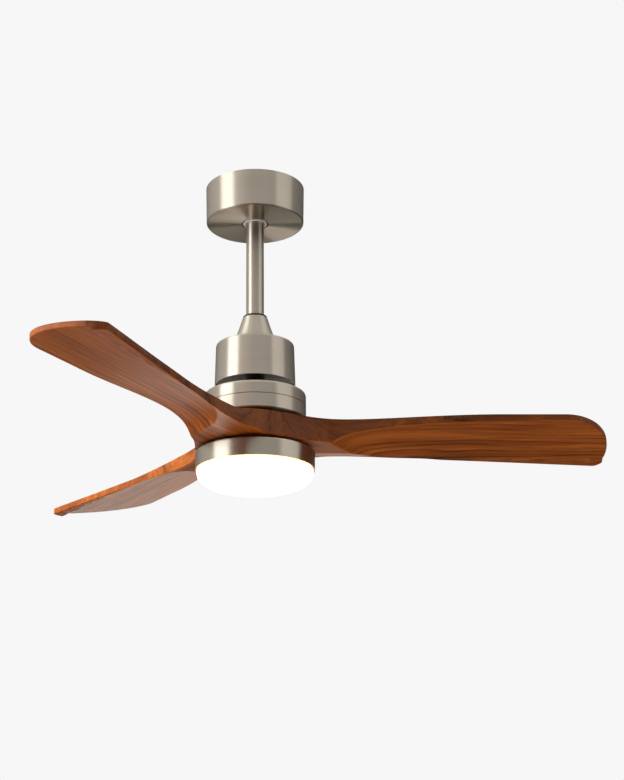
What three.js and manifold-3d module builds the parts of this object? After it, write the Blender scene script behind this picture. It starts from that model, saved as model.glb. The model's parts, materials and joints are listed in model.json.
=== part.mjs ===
// Ceiling fan with light: a twist-lock canopy, a ball-hung downrod, an outer-rotor motor,
// three carved wood blades whose roots interlock into one hub, and a round light kit.
// Units are millimetres. Z points up, and z = 0 is the ceiling face of the mounting plate.

import * as THREE from 'three';
import { mergeVertices } from 'three/addons/utils/BufferGeometryUtils.js';
import Module from 'manifold-3d';

const wasm = await Module();
wasm.setup();

// ---------------------------------------------------------------- driving dimensions

const GAP = 0.3;                      // clearance left between touching pieces

const CANOPY = { top: -0.3, bottom: -57.8, radiusTop: 75.1, radiusBottom: 74, wall: 1.3, hole: 20.8 };
const BALL = { z: -32, radius: 23, neck: 17.8, neckBottom: -58.5 };
const ROD = { outer: 13.35, inner: 11.35, top: -12, bottom: -247 };
const CLEVIS_Z = -240;
const SHAFT = { outer: 8.5, inner: 5, top: -252, bottom: -432 };
const COVER = { top: -255.6, bottom: -318.8, radiusTop: 58.4, radiusBottom: 59.8, wall: 1.5 };
const ROTOR = { top: -332.8, seam: -352.4, bottom: -373.5, radius: 75, wall: 2.8 };
const HUB = { top: -379, bottom: -418, bore: 16, rimTop: 75.6, rimBottom: 86 };
const LIGHT = { top: -421.8, ringBottom: -448.5, radiusTop: 87.4, radiusBottom: 87, bottom: -476 };

const BEARING = { bore: SHAFT.outer + GAP, innerRace: 10.6, outerRace: 13.4, radius: 15, width: 7 };
const FIT = { shaft: SHAFT.outer + GAP, rod: ROD.outer + GAP, pin: 3 + GAP, bolt: 2.5 + GAP };

const SEGMENTS = { large: 24, middle: 16, small: 12, hole: 6 };

const BLADE_COUNT = 3;
const BOLT_RADIUS = 45;
const BOLT_OFFSET = 22;

// ---------------------------------------------------------------- finishes

const FINISH = {
  nickel: { color: 0xb9b0a0, roughness: 0.32, metalness: 1 },
  steel: { color: 0x9a9ca0, roughness: 0.4, metalness: 1 },
  zinc: { color: 0xc3c6c8, roughness: 0.35, metalness: 1 },
  blackSteel: { color: 0x1b1b1c, roughness: 0.5, metalness: 1 },
  copper: { color: 0xb4693a, roughness: 0.45, metalness: 1 },
  magnet: { color: 0x3a3b3e, roughness: 0.6, metalness: 0.6 },
  whiteNylon: { color: 0xe9e7e0, roughness: 0.5, metalness: 0 },
  blackPlastic: { color: 0x161617, roughness: 0.55, metalness: 0 },
  rubber: { color: 0x101011, roughness: 0.8, metalness: 0 },
  walnut: { color: 0x7a4526, roughness: 0.45, metalness: 0 },
  circuit: { color: 0x1f5c38, roughness: 0.5, metalness: 0.1 },
  whiteBoard: { color: 0xf0f0ec, roughness: 0.5, metalness: 0 },
  opal: { color: 0xfbfaf6, roughness: 0.4, metalness: 0 },
};

// ---------------------------------------------------------------- mesh helpers

function signedVolume(positions, triangles) {
  const corner = [new THREE.Vector3(), new THREE.Vector3(), new THREE.Vector3()];
  let sixfold = 0;
  for (let i = 0; i < triangles.length; i += 3) {
    corner.forEach((point, k) => point.fromArray(positions, 3 * triangles[i + k]));
    sixfold += corner[0].dot(corner[1].clone().cross(corner[2]));
  }
  return sixfold / 6;
}

// Positions only, welded, with no collapsed triangles and every face turned outwards.
function toSolid(geometry) {
  const bare = geometry.clone();
  bare.deleteAttribute('normal');
  bare.deleteAttribute('uv');
  const welded = mergeVertices(bare, 1e-4);
  const positions = Float32Array.from(welded.attributes.position.array);
  const triangles = [];
  const index = welded.index.array;
  for (let i = 0; i < index.length; i += 3) {
    const [a, b, c] = [index[i], index[i + 1], index[i + 2]];
    if (a !== b && b !== c && c !== a) triangles.push(a, b, c);
  }
  if (signedVolume(positions, triangles) < 0) triangles.reverse();
  const triVerts = Uint32Array.from(triangles);
  return new wasm.Manifold(new wasm.Mesh({ numProp: 3, vertProperties: positions, triVerts }));
}

function toGeometry(solid) {
  const mesh = solid.getMesh();
  const geometry = new THREE.BufferGeometry();
  geometry.setAttribute('position', new THREE.BufferAttribute(mesh.vertProperties, 3));
  geometry.setIndex(new THREE.BufferAttribute(mesh.triVerts, 1));
  return geometry;
}

function join(first, ...others) {
  return toGeometry(others.reduce((sum, other) => sum.add(toSolid(other)), toSolid(first)));
}

function cut(body, ...tools) {
  return toGeometry(tools.reduce((rest, tool) => rest.subtract(toSolid(tool)), toSolid(body)));
}

// ---------------------------------------------------------------- shape helpers

// A profile of [radius, z] pairs turned about the Z axis; it closes on the axis or on itself.
function turned(profile, segments = SEGMENTS.large) {
  const points = profile.map(([radius, z]) => new THREE.Vector2(radius, z));
  const onAxis = profile[0][0] === 0 && profile.at(-1)[0] === 0;
  if (!onAxis) points.push(points[0].clone());
  return new THREE.LatheGeometry(points, segments).rotateX(Math.PI / 2);
}

function ring(inner, outer, z0, z1, segments) {
  return turned([[inner, z0], [outer, z0], [outer, z1], [inner, z1]], segments);
}

function disc(radius, z0, z1, segments = SEGMENTS.hole) {
  return turned([[0, z0], [radius, z0], [radius, z1], [0, z1]], segments);
}

function box([x0, x1], [y0, y1], [z0, z1]) {
  const body = new THREE.BoxGeometry(x1 - x0, y1 - y0, z1 - z0);
  return body.translate((x0 + x1) / 2, (y0 + y1) / 2, (z0 + z1) / 2);
}

// A round bar along X or Y, from one coordinate to the other, at height z.
function crossBar(axis, radius, from, to, z, segments = SEGMENTS.hole) {
  const bar = disc(radius, from, to, segments);
  if (axis === 'x') bar.rotateY(Math.PI / 2);
  if (axis === 'y') bar.rotateX(-Math.PI / 2);
  return bar.translate(0, 0, z);
}

// A block between two radii that spans `width` degrees about `azimuth`.
function arcBlock(inner, outer, z0, z1, azimuth, width) {
  const start = THREE.MathUtils.degToRad(azimuth - width / 2);
  const end = THREE.MathUtils.degToRad(azimuth + width / 2);
  const shape = new THREE.Shape();
  shape.absarc(0, 0, outer, start, end, false);
  shape.absarc(0, 0, inner, end, start, true);
  const options = { depth: Math.abs(z1 - z0), bevelEnabled: false, curveSegments: 1 };
  return new THREE.ExtrudeGeometry(shape, options).translate(0, 0, Math.min(z0, z1));
}

function placed(geometry, radius, azimuth) {
  return geometry.clone().translate(radius, 0, 0).rotateZ(THREE.MathUtils.degToRad(azimuth));
}

function azimuths(count, first = 0) {
  return Array.from({ length: count }, (_, i) => first + (360 / count) * i);
}

function bar(points, radius, steps) {
  const outline = new THREE.Shape().absarc(0, 0, radius, 0, 2 * Math.PI, false);
  const path = new THREE.CatmullRomCurve3(points.map((point) => new THREE.Vector3(...point)));
  const options = { steps, extrudePath: path, bevelEnabled: false, curveSegments: 3 };
  return new THREE.ExtrudeGeometry(outline, options);
}

// A screw that stands upright: the head runs from headFar to headNear, the shank to tip.
function screw({ shank, head, headFar, headNear, tip }) {
  const profile = [
    [0, headFar], [head, headFar], [head, headNear], [shank, headNear], [shank, tip], [0, tip],
  ];
  return turned(profile, SEGMENTS.hole);
}

const lerp = THREE.MathUtils.lerp;
const smoothstep = THREE.MathUtils.smoothstep;

// Follows a distance where it is positive, and eases to nothing where it is negative.
function softened(distance, softness) {
  return (distance + Math.hypot(distance, softness)) / 2;
}

// Evenly spaced values from one number to another, both included.
function steps(from, to, count) {
  return Array.from({ length: count + 1 }, (_, i) => lerp(from, to, i / count));
}

// ---------------------------------------------------------------- ceiling bracket and canopy

const LUG = { inner: 62, top: -1.9, bottom: -3.4, width: 10, turn: 18 };
const BRACKET_SCREW_X = 38;

function ceilingPlate() {
  const dish = turned([[0, 0], [54, 0], [58, -4], [69, -4], [69, -6], [57, -6], [53, -2], [0, -2]]);
  const notches = azimuths(3, 30 + LUG.turn).map((a) => arcBlock(61, 71, -3, -7, a, LUG.width + 4));
  const screwHoles = [-1, 1].map((side) => disc(2.4, 1, -3).translate(side * BRACKET_SCREW_X, 0, 0));
  const wireHole = disc(8, 1, -3).translate(22, 34, 0);
  const slots = [-1, 1].map((side) => box([-10, 10], [side * 46 - 2.2, side * 46 + 2.2], [-3, 1]));
  return cut(dish, ...notches, ...screwHoles, wireHole, ...slots);
}

function hangerBracket() {
  const seatRadius = BALL.radius + 0.5;
  const seat = [-1.5, -6, -9.5, -12].map((drop) => [Math.sqrt(seatRadius ** 2 - drop ** 2), BALL.z + drop]);
  const cup = turned([...seat, [seat.at(-1)[0], -47], [31, -47], [31, BALL.z - 1.5]], SEGMENTS.middle);
  const legs = [-1, 1].flatMap((side) => [
    box([side < 0 ? -33 : 29, side < 0 ? -29 : 33], [-10, 10], [-47, -2 - GAP]),
    box([side < 0 ? -46 : 29, side < 0 ? -29 : 46], [-10, 10], [-5.3, -2 - GAP]),
  ]);
  const screwHoles = [-1, 1].map((side) => disc(2.4, 1, -7).translate(side * BRACKET_SCREW_X, 0, 0));
  const throat = box([-18.5, 18.5], [-40, 0], [-50, -30]);
  return cut(join(cup, ...legs), throat, ...screwHoles);
}

function bracketScrew(side) {
  const body = screw({ shank: 2, head: 4, headFar: -8, headNear: -5.6, tip: -0.5 });
  return body.translate(side * BRACKET_SCREW_X, 0, 0);
}

function terminalBlock() {
  const body = box([-18, 18], [-48, -36], [-13, -2 - GAP]);
  const ways = [-11, 0, 11].map((x) => crossBar('y', 2.2, -50, -34, -8).translate(x, 0, 0));
  return cut(body, ...ways);
}

function canopy() {
  const { top, bottom, radiusTop, radiusBottom, wall, hole } = CANOPY;
  const outside = [[radiusTop, top], [radiusBottom, bottom + 2.4], [radiusBottom - 0.7, bottom + 0.7],
    [radiusBottom - 2.4, bottom], [hole, bottom]];
  const inside = [[hole, bottom + wall], [radiusBottom - 2.6, bottom + wall],
    [radiusBottom - wall, bottom + 2.8], [radiusTop - wall, top]];
  const lugs = azimuths(3, 30).map((a) => {
    return arcBlock(LUG.inner, radiusTop - 0.8, LUG.top, LUG.bottom, a, LUG.width);
  });
  return join(turned([...outside, ...inside]), ...lugs);
}

// ---------------------------------------------------------------- hanger ball and downrod

function hangerBall() {
  const { z, radius, neck, neckBottom } = BALL;
  const first = Math.asin(FIT.rod / radius);
  const last = Math.PI - Math.asin(neck / radius);
  const arc = Array.from({ length: 8 }, (_, i) => {
    const angle = lerp(first, last, i / 7);
    return [radius * Math.sin(angle), z + radius * Math.cos(angle)];
  });
  const mouth = [[neck, neckBottom], [14.8, neckBottom], [FIT.rod, neckBottom + 4.5]];
  const pinHole = crossBar('y', FIT.pin, -radius - 1, radius + 1, z);
  return cut(turned([...arc, ...mouth], SEGMENTS.middle), pinHole);
}

function ballPin() {
  return crossBar('y', 3, -19.5, 19.5, BALL.z);
}

function downrod() {
  const reach = ROD.outer + 1;
  const tube = ring(ROD.inner, ROD.outer, ROD.top, ROD.bottom, SEGMENTS.middle);
  const ballHole = crossBar('y', FIT.pin, -reach, reach, BALL.z);
  const clevisHole = crossBar('x', FIT.pin, -reach, reach, CLEVIS_Z);
  return cut(tube, ballHole, clevisHole);
}

// The lead climbs out of the rod, and passes beside both cross pins on its way down.
function motorLead() {
  return bar([[0, 42, -21.7], [0, 41, -13], [2, 33, -8], [4, 20, -6.4], [4.8, 11, -6.4], [5.2, 6.8, -10],
    [5.6, 5.8, -18], [5.6, 5.6, -34], [5.6, 5.6, -130], [5.4, 5.4, -238], [4.2, 4.4, -245], [1.2, 1.2, -251.5],
    [0, 0, -258], [0, 0, -272], [0, 1.2, -284], [0, 8, -290], [0, 18, -290.5], [0, 24.5, -290.5]], 2, 40);
}

function leadConnector() {
  return join(box([-7, 7], [38, 46], [-34, -22]), box([-4, 4], [37, 47], [-30, -26]));
}

// ---------------------------------------------------------------- coupling and its cover

const BELL = { top: -213, bottom: -254.3, throat: 18.9, slope: 0.31, foot: 7.9, footDepth: 6, wall: 1.4 };

// A slim cone that turns out into a foot where it sits on the motor cover.
function bellRadius(z) {
  const cone = BELL.throat + BELL.slope * (BELL.top - z);
  return cone + BELL.foot * Math.exp((BELL.bottom - z) / BELL.footDepth);
}

function couplingCover() {
  const foot = COVER.top + GAP;
  const outside = steps(BELL.top, BELL.bottom, 7).map((z) => [bellRadius(z), z]);
  const inside = steps(foot, BELL.top - 0.8, 6).map((z) => [bellRadius(z + 1) - BELL.wall, z]);
  return turned([[15.9, -212.2], [18.2, -212.2], ...outside, [40.2, foot], ...inside,
    [15.9, BELL.top - 0.8]], SEGMENTS.large);
}

function coverGrommet() {
  return turned([[FIT.rod, -209.2], [17.3, -209.2], [18, -209.9], [18, -211.9], [15.6, -211.9],
    [15.6, -214.6], [FIT.rod, -214.6]], SEGMENTS.middle);
}

const COUPLING = {
  top: -228, sleeve: 20, step: -250.5, flange: 36, flangeTop: -257.4, flangeBottom: -261.4,
};
const COVER_SCREW_RADIUS = 29;

function coupling() {
  const { top, sleeve, step, flange, flangeTop, flangeBottom } = COUPLING;
  const body = turned([[FIT.rod, top], [sleeve, top], [sleeve, flangeTop], [flange, flangeTop],
    [flange, flangeBottom], [17, flangeBottom], [17, -270], [FIT.shaft, -270], [FIT.shaft, step],
    [FIT.rod, step]], SEGMENTS.middle);
  const clevisHole = crossBar('x', FIT.pin, -sleeve - 1, sleeve + 1, CLEVIS_Z);
  const setScrewHoles = crossBar('y', 2.3, -sleeve - 1, sleeve + 1, -233);
  const coverHoles = azimuths(3, 90).map((a) => placed(disc(2.3, -256, -263), COVER_SCREW_RADIUS, a));
  return cut(body, clevisHole, setScrewHoles, ...coverHoles);
}

function clevisPin() {
  const body = join(crossBar('x', 3, -21, 24.2, CLEVIS_Z), crossBar('x', 4.5, -23.6, -20.3, CLEVIS_Z));
  return cut(body, disc(1, -236, -244).translate(22, 0, 0));
}

function cotterClip() {
  return bar([[22, 0, -245], [22, 0, -240], [22, 0, -236], [22, -2.3, -234.4], [22, -4.6, -236.5],
    [22, -4.7, -240], [22, -4.9, -244]], 0.65, 12);
}

function couplingSetScrew(side) {
  const [from, to] = side < 0 ? [-21.4, -13.8] : [13.8, 21.4];
  return crossBar('y', 2, from, to, -233);
}

// ---------------------------------------------------------------- fixed motor parts

function motorShaft() {
  const { outer, inner, top, bottom } = SHAFT;
  const tube = ring(inner, outer, top, bottom, SEGMENTS.small);
  const motorWindow = box([-2.8, 2.8], [0, 12], [-296, -282]);
  const lightWindow = box([-2.4, 2.4], [-12, 0], [-304, -290]);
  return cut(tube, motorWindow, lightWindow);
}

function motorCover() {
  const { top, bottom, radiusTop, radiusBottom, wall } = COVER;
  const hole = COUPLING.sleeve + 0.6;
  const shell = turned([[hole, top], [radiusTop - 3, top], [radiusTop - 0.9, top - 0.9],
    [radiusTop, top - 3], [radiusBottom, bottom], [radiusBottom - wall, bottom],
    [radiusTop - wall, top - 3.4], [radiusTop - 3.2, top - wall], [hole, top - wall]]);
  const holes = azimuths(3, 90).map((a) => placed(disc(2.3, -254, -259), COVER_SCREW_RADIUS, a));
  return cut(shell, ...holes);
}

function coverScrew(azimuth) {
  const body = screw({ shank: 2, head: 3.6, headFar: -253.2, headNear: -255.3, tip: -261.1 });
  return placed(body, COVER_SCREW_RADIUS, azimuth);
}

const TRAY_TOP = -314.8;
const BOARD = { top: -298, bottom: -299.6, inner: 15, outer: 50 };

function driverTray() {
  const tray = turned([[10.2, -310], [12.4, -310], [12.4, TRAY_TOP], [55.2, TRAY_TOP], [55.2, -306],
    [57.4, -306], [57.4, -317.2], [14, -317.2], [14, -331], [10.2, -331]]);
  const posts = azimuths(3, 90).map((a) => placed(disc(3, TRAY_TOP - 0.5, BOARD.bottom - GAP), 44, a));
  return join(tray, ...posts);
}

function driverBoard() {
  const board = ring(BOARD.inner, BOARD.outer, BOARD.top, BOARD.bottom, SEGMENTS.middle);
  const foot = BOARD.top - 0.5;
  const capacitors = [150, 176, 202].map((a) => placed(disc(5, foot, -280), 34, a));
  const coil = placed(ring(3.5, 8, foot, -289, SEGMENTS.hole), 36, 330);
  const chips = [20, 55].map((a) => placed(box([-5, 5], [-4, 4], [foot, -295]), 34, a));
  const plugs = [90, 270].map((a) => placed(box([-4, 4], [-5, 5], [foot, -287]), 29, a));
  return join(board, ...capacitors, coil, ...chips, ...plugs);
}

function innerRace(z) {
  return ring(BEARING.bore, BEARING.innerRace, z, z - BEARING.width, SEGMENTS.small);
}

function outerRace(z) {
  return ring(BEARING.outerRace, BEARING.radius, z, z - BEARING.width, SEGMENTS.small);
}

const STATOR = { teeth: 9, top: -345, bottom: -359, hub: 24, radius: 64, toothWidth: 9, shoeSpan: 30 };

function stator() {
  const { teeth, top, bottom, hub, radius, toothWidth, shoeSpan } = STATOR;
  const core = ring(FIT.shaft, hub, top, bottom, SEGMENTS.small);
  const arms = azimuths(teeth).map((a) => {
    const arm = box([hub - 2, radius - 3], [-toothWidth / 2, toothWidth / 2], [bottom, top]);
    return arm.rotateZ(THREE.MathUtils.degToRad(a));
  });
  const shoes = azimuths(teeth).map((a) => arcBlock(radius - 4.5, radius, top, bottom, a, shoeSpan));
  return join(core, ...arms, ...shoes);
}

function statorWinding() {
  const { teeth, top, bottom, hub, toothWidth } = STATOR;
  const half = toothWidth / 2 + GAP;
  const coil = turned([[hub + 4, top - 1], [hub + 7, top + 2.6], [54, top + 2.6], [57, top - 1],
    [57, bottom + 1], [54, bottom - 2.6], [hub + 7, bottom - 2.6], [hub + 4, bottom + 1]]);
  const slots = azimuths(teeth).map((a) => {
    const slot = box([hub, 60], [-half, half], [bottom - GAP, top + GAP]);
    return slot.rotateZ(THREE.MathUtils.degToRad(a));
  });
  return cut(coil, ...slots);
}

// ---------------------------------------------------------------- spinning motor shell

const LIP = 10.8;                     // hole in the rotor shells, clear of the fixed shaft
const POCKET = BEARING.radius + GAP;  // bore that holds each outer race
const BOSS = 19;
const UPPER_BEARING = -335.5;
const LOWER_BEARING = -366;

function rotorUpperShell() {
  const { top, seam, radius, wall } = ROTOR;
  const floor = UPPER_BEARING + GAP;
  return turned([[LIP, top], [radius - 3.4, top], [radius - 1, top - 1.1], [radius, top - 3.6],
    [radius, seam + 0.2], [radius - wall, seam + 0.2], [radius - wall, top - 4.2],
    [radius - 4.4, top - 2.6], [BOSS, top - 2.6], [BOSS, -343], [POCKET, -343], [POCKET, floor],
    [LIP, floor]]);
}

function rotorLowerShell() {
  const { seam, bottom, radius, wall } = ROTOR;
  const floor = bottom + 2.7;
  const seat = LOWER_BEARING - BEARING.width - GAP;
  const spigot = radius - wall - GAP;
  const shell = turned([[LIP, -375.5], [LIP, seat], [POCKET, seat], [POCKET, LOWER_BEARING],
    [BOSS, LOWER_BEARING], [BOSS, floor], [spigot - 1.6, floor],
    [spigot - 1.6, seam + 7], [spigot, seam + 7], [spigot, seam - 0.2], [radius, seam - 0.2],
    [radius, bottom + 1.2], [radius - 1.2, bottom], [BOSS, bottom], [BOSS, -375.5]]);
  return cut(shell, ...boltPattern(floor + 1, bottom - 1));
}

const IRON = { outer: ROTOR.radius - ROTOR.wall - 1.9 - GAP, thickness: 1.5, top: -346, bottom: -361 };

function fluxRing() {
  return ring(IRON.outer - IRON.thickness, IRON.outer, IRON.top, IRON.bottom, SEGMENTS.large);
}

function magnetRing() {
  const outer = IRON.outer - IRON.thickness - GAP;
  return ring(outer - 3, outer, IRON.top, IRON.bottom, SEGMENTS.large);
}

// ---------------------------------------------------------------- blades

// Across the blade, c runs from the trailing side (negative) to the leading side (positive).
const BLADE = { crestDecay: 9, columns: 7, hubRows: 4, bladeRows: 8, webRise: 4 };
const LEADING = { sign: 1, waist: 26, widest: 57, grows: (x) => smoothstep(x, 70, 350) };
const TRAILING = { sign: -1, waist: 31, widest: 97, grows: (x) => (softened(x - 100, 20) / 412) ** 0.85 };
const CREST = { trailing: 215, leading: 106, slope: 0.6, sweepDecay: 12 };
const TIP = { length: 524, crown: -64, trailing: 512, leading: 446 };
const ROOT_Z = { trailingTop: -384, trailingBottom: -416, leadingBottom: -413 };
const PADDLE_Z = { trailingTop: -404.5, trailingBottom: -412, leadingTop: -380, leadingBottom: -389 };
const FULL_PITCH = 300;               // x by which the trailing side has dropped all the way
const SCOOP = 58;                     // reach of the rise along the leading side

// Each side of the blade flares into the hub's rim, narrows to a waist and widens to the paddle.
function sideOutline({ sign, waist, widest, grows }, rim, reach) {
  const [rimX, rimC] = sectorArc(rim)(1);
  const flare = rimC - lerp(waist, widest, grows(rimX));
  return (x) => {
    const faded = Math.exp(-((Math.max(x - rimX, 0) / reach) ** 1.3));
    return sign * (lerp(waist, widest, grows(x)) + flare * faded);
  };
}

const plan = {
  leadingTop: sideOutline(LEADING, HUB.rimTop, 43),
  leadingBottom: sideOutline(LEADING, HUB.rimBottom, 60),
  trailingTop: sideOutline(TRAILING, HUB.rimTop, 43),
  trailingBottom: sideOutline(TRAILING, HUB.rimBottom, 52),
};

// The sharp crest where the flat hub face ends: a slant that sweeps outwards on the trailing side.
function crestX(c) {
  const trailingC = plan.trailingBottom(CREST.trailing);
  const leadingC = plan.leadingBottom(CREST.leading);
  const sweep = CREST.trailing - CREST.leading - CREST.slope * (leadingC - trailingC);
  const slant = CREST.leading + CREST.slope * (leadingC - c);
  return slant + sweep * Math.exp((trailingC - c) / CREST.sweepDecay);
}

// The paddle's end is two quarter ellipses that meet at the crown.
function tipX(c) {
  const leading = c > TIP.crown;
  const end = leading ? plan.leadingBottom(TIP.leading) : plan.trailingBottom(TIP.trailing);
  const share = (c - TIP.crown) / (end - TIP.crown);
  const depth = TIP.length - (leading ? TIP.leading : TIP.trailing);
  return TIP.length - depth * (1 - Math.sqrt(Math.max(1 - share ** 2, 0)));
}

function edgeHeights(x) {
  const pitch = smoothstep(x, 0, FULL_PITCH);
  const scoop = Math.exp((CREST.leading - x) / SCOOP);
  return {
    leadingTop: PADDLE_Z.leadingTop,
    leadingBottom: lerp(PADDLE_Z.leadingBottom, ROOT_Z.leadingBottom, scoop),
    trailingTop: lerp(ROOT_Z.trailingTop, PADDLE_Z.trailingTop, pitch),
    trailingBottom: lerp(ROOT_Z.trailingBottom, PADDLE_Z.trailingBottom, pitch),
  };
}

function topHeight(x, c, t) {
  const { trailingTop, leadingTop } = edgeHeights(x);
  const pitched = lerp(trailingTop, leadingTop, t);
  return lerp(HUB.top, pitched, smoothstep(Math.hypot(x, c), 66, 126));
}

// The hub face is flat, and lifts a little along the trailing side of the web.
function bottomHeight(x, c, t) {
  const face = HUB.bottom + BLADE.webRise * smoothstep(-c, 12, 46) * smoothstep(x, 52, 96);
  const { trailingBottom, leadingBottom } = edgeHeights(x);
  const pitched = lerp(trailingBottom, leadingBottom, t);
  const past = Math.max(x - crestX(c), 0);
  return lerp(pitched, face, Math.exp(-past / BLADE.crestDecay));
}

// A patch between a start row and an end row whose two sides follow given curves.
function patch(start, end, trailing, leading) {
  return (t, q) => [0, 1].map((axis) => {
    const across = lerp(start(t)[axis], end(t)[axis], q);
    const trailingPull = trailing(q)[axis] - lerp(start(0)[axis], end(0)[axis], q);
    const leadingPull = leading(q)[axis] - lerp(start(1)[axis], end(1)[axis], q);
    return across + (1 - t) * trailingPull + t * leadingPull;
  });
}

function sectorArc(radius) {
  const half = Math.PI / BLADE_COUNT - GAP / 2 / radius;
  return (t) => {
    const angle = lerp(-half, half, t);
    return [radius * Math.cos(angle), radius * Math.sin(angle)];
  };
}

function along(outline, from, to) {
  return (q) => {
    const x = lerp(from, to, q);
    return [x, outline(x)];
  };
}

// Rows of [x, c] points for one face of the blade, from the bore of the hub to the tip.
function planRows(rim, leading, trailing) {
  const corner = sectorArc(rim);
  const [cornerX] = corner(0);
  const row = (shape, ends) => (t) => {
    const c = lerp(trailing(ends.trailing), leading(ends.leading), t);
    return [t === 0 ? ends.trailing : t === 1 ? ends.leading : shape(c), c];
  };
  const crest = row(crestX, CREST);
  const tip = row(tipX, TIP);
  const hubPatch = patch(corner, crest, along(trailing, cornerX, CREST.trailing),
    along(leading, cornerX, CREST.leading));
  const bladePatch = patch(crest, tip, along(trailing, CREST.trailing, TIP.trailing),
    along(leading, CREST.leading, TIP.leading));
  const columns = Array.from({ length: BLADE.columns + 1 }, (_, i) => {
    return (1 - Math.cos((Math.PI * i) / BLADE.columns)) / 2;
  });
  const rows = [columns.map(sectorArc(HUB.bore)), columns.map(corner)];
  for (let i = 1; i <= BLADE.hubRows; i += 1) {
    rows.push(columns.map((t) => hubPatch(t, i / BLADE.hubRows)));
  }
  for (let i = 1; i <= BLADE.bladeRows; i += 1) {
    rows.push(columns.map((t) => bladePatch(t, (i / BLADE.bladeRows) ** 1.35)));
  }
  return { rows, columns };
}

// A closed body between two grids of points that share their rows and columns.
function bodyBetween(upper, lower) {
  const rowCount = upper.length;
  const columnCount = upper[0].length;
  const vertices = [...upper.flat(), ...lower.flat()].flat();
  const top = (i, j) => i * columnCount + j;
  const bottom = (i, j) => rowCount * columnCount + top(i, j);
  const triangles = [];
  const quad = (a, b, c, d) => triangles.push(a, b, c, a, c, d);
  for (let i = 0; i + 1 < rowCount; i += 1) {
    for (let j = 0; j + 1 < columnCount; j += 1) {
      quad(top(i, j), top(i, j + 1), top(i + 1, j + 1), top(i + 1, j));
      quad(bottom(i, j), bottom(i + 1, j), bottom(i + 1, j + 1), bottom(i, j + 1));
    }
    quad(top(i, 0), top(i + 1, 0), bottom(i + 1, 0), bottom(i, 0));
    const last = columnCount - 1;
    quad(top(i, last), bottom(i, last), bottom(i + 1, last), top(i + 1, last));
  }
  for (let j = 0; j + 1 < columnCount; j += 1) {
    const last = rowCount - 1;
    quad(top(0, j), bottom(0, j), bottom(0, j + 1), top(0, j + 1));
    quad(top(last, j), top(last, j + 1), bottom(last, j + 1), bottom(last, j));
  }
  const geometry = new THREE.BufferGeometry();
  geometry.setAttribute('position', new THREE.Float32BufferAttribute(vertices, 3));
  geometry.setIndex(triangles);
  return geometry;
}

const CLAMP = { radius: 60, top: -412.3, bottom: -414.8 };

function boltPattern(z0, z1) {
  return azimuths(BLADE_COUNT).flatMap((a) => [-BOLT_OFFSET, BOLT_OFFSET].map((offset) => {
    return placed(disc(FIT.bolt, z0, z1), BOLT_RADIUS, a + offset);
  }));
}

function blade(azimuth) {
  const upper = planRows(HUB.rimTop, plan.leadingTop, plan.trailingTop);
  const lower = planRows(HUB.rimBottom, plan.leadingBottom, plan.trailingBottom);
  const lift = (face, height) => face.rows.map((row) => row.map(([x, c], j) => {
    return [x, -c, height(x, c, face.columns[j])];
  }));
  const body = bodyBetween(lift(upper, topHeight), lift(lower, bottomHeight));
  const recess = disc(CLAMP.radius + 0.4, CLAMP.top + GAP, HUB.bottom - 1, SEGMENTS.large);
  const shaped = cut(body, recess, ...boltPattern(HUB.top + 1, HUB.bottom - 1));
  return shaped.rotateZ(THREE.MathUtils.degToRad(azimuth));
}

function bladeMountRing() {
  const top = ROTOR.bottom - GAP;
  const bottom = HUB.top + GAP;
  return cut(ring(BOSS + 1, 64, top, bottom, SEGMENTS.large), ...boltPattern(top + 1, bottom - 1));
}

function bladeClampPlate() {
  const { radius, top, bottom } = CLAMP;
  return cut(ring(14, radius, top, bottom, SEGMENTS.large), ...boltPattern(top + 1, bottom - 1));
}

function bladeBolt(azimuth) {
  const near = CLAMP.bottom - GAP;
  const tip = ROTOR.bottom + 2.4;
  const body = screw({ shank: 2.5, head: 4.5, headFar: near - 2.5, headNear: near, tip });
  return placed(body, BOLT_RADIUS, azimuth);
}

// ---------------------------------------------------------------- light kit

const HOUSING_SCREWS = { radius: 34, first: 60 };
const LED_SCREWS = { radius: 55, first: 90 };
const LED_BOARD = { radius: 68, top: -436, bottom: -437.6 };
const BAYONET = {
  ribTop: -440.5, ribBottom: -443, lugTop: -437.5, lugBottom: -440, ribWidth: 20, lugWidth: 14,
};

function lightMountPlate() {
  const { radius, first } = HOUSING_SCREWS;
  const holes = azimuths(3, first).map((a) => placed(disc(2, -418, -423), radius, a));
  return cut(ring(FIT.shaft, 50, -419.4, LIGHT.top + GAP, SEGMENTS.large), ...holes);
}

function shaftNut() {
  const hexagon = new THREE.Shape(azimuths(6).map((a) => {
    return new THREE.Vector2(14, 0).rotateAround(new THREE.Vector2(), THREE.MathUtils.degToRad(a));
  }));
  const body = new THREE.ExtrudeGeometry(hexagon, { depth: 6.6, bevelEnabled: false });
  return cut(body.translate(0, 0, -430.4), disc(FIT.shaft, -420, -434, SEGMENTS.small));
}

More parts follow.
